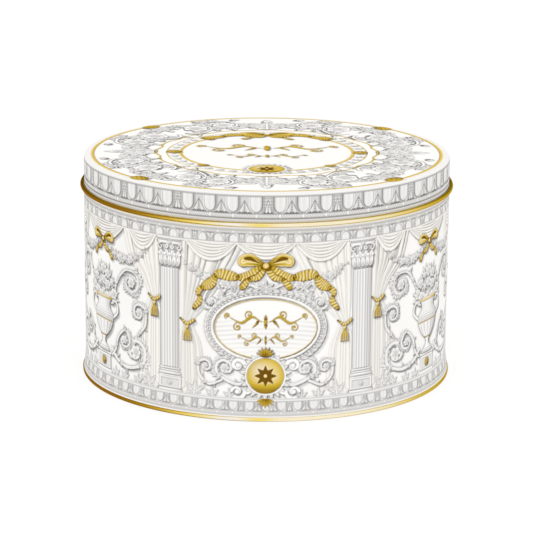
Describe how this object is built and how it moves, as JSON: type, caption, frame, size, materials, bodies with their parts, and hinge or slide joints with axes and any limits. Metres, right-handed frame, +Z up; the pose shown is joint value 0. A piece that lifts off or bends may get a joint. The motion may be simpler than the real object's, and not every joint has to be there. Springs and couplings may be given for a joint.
{
  "type": "round lidded gift tin for a festive loaf",
  "caption": "Shut round tinplate gift box with a slip-on lid, a rolled gold bead and a gold base seam, printed with grey classical ornament.",
  "frame": {"origin": "centre of the foot, on the surface that the tin stands on", "axes": "+Z up along the tin's round axis, towards the lid; the printed front with the plaque faces -Y"},
  "size_m": [0.24, 0.24, 0.143],
  "materials": {
    "printed_tinplate": "white enamel with grey and gold print under satin varnish",
    "gold_lacquer": "gold lacquered tinplate, glossy"
  },
  "bodies": {
    "root": {"base_end": "gold_lacquer", "tin_body": "printed_tinplate", "lid": "printed_tinplate"}
  },
  "joints": []
}
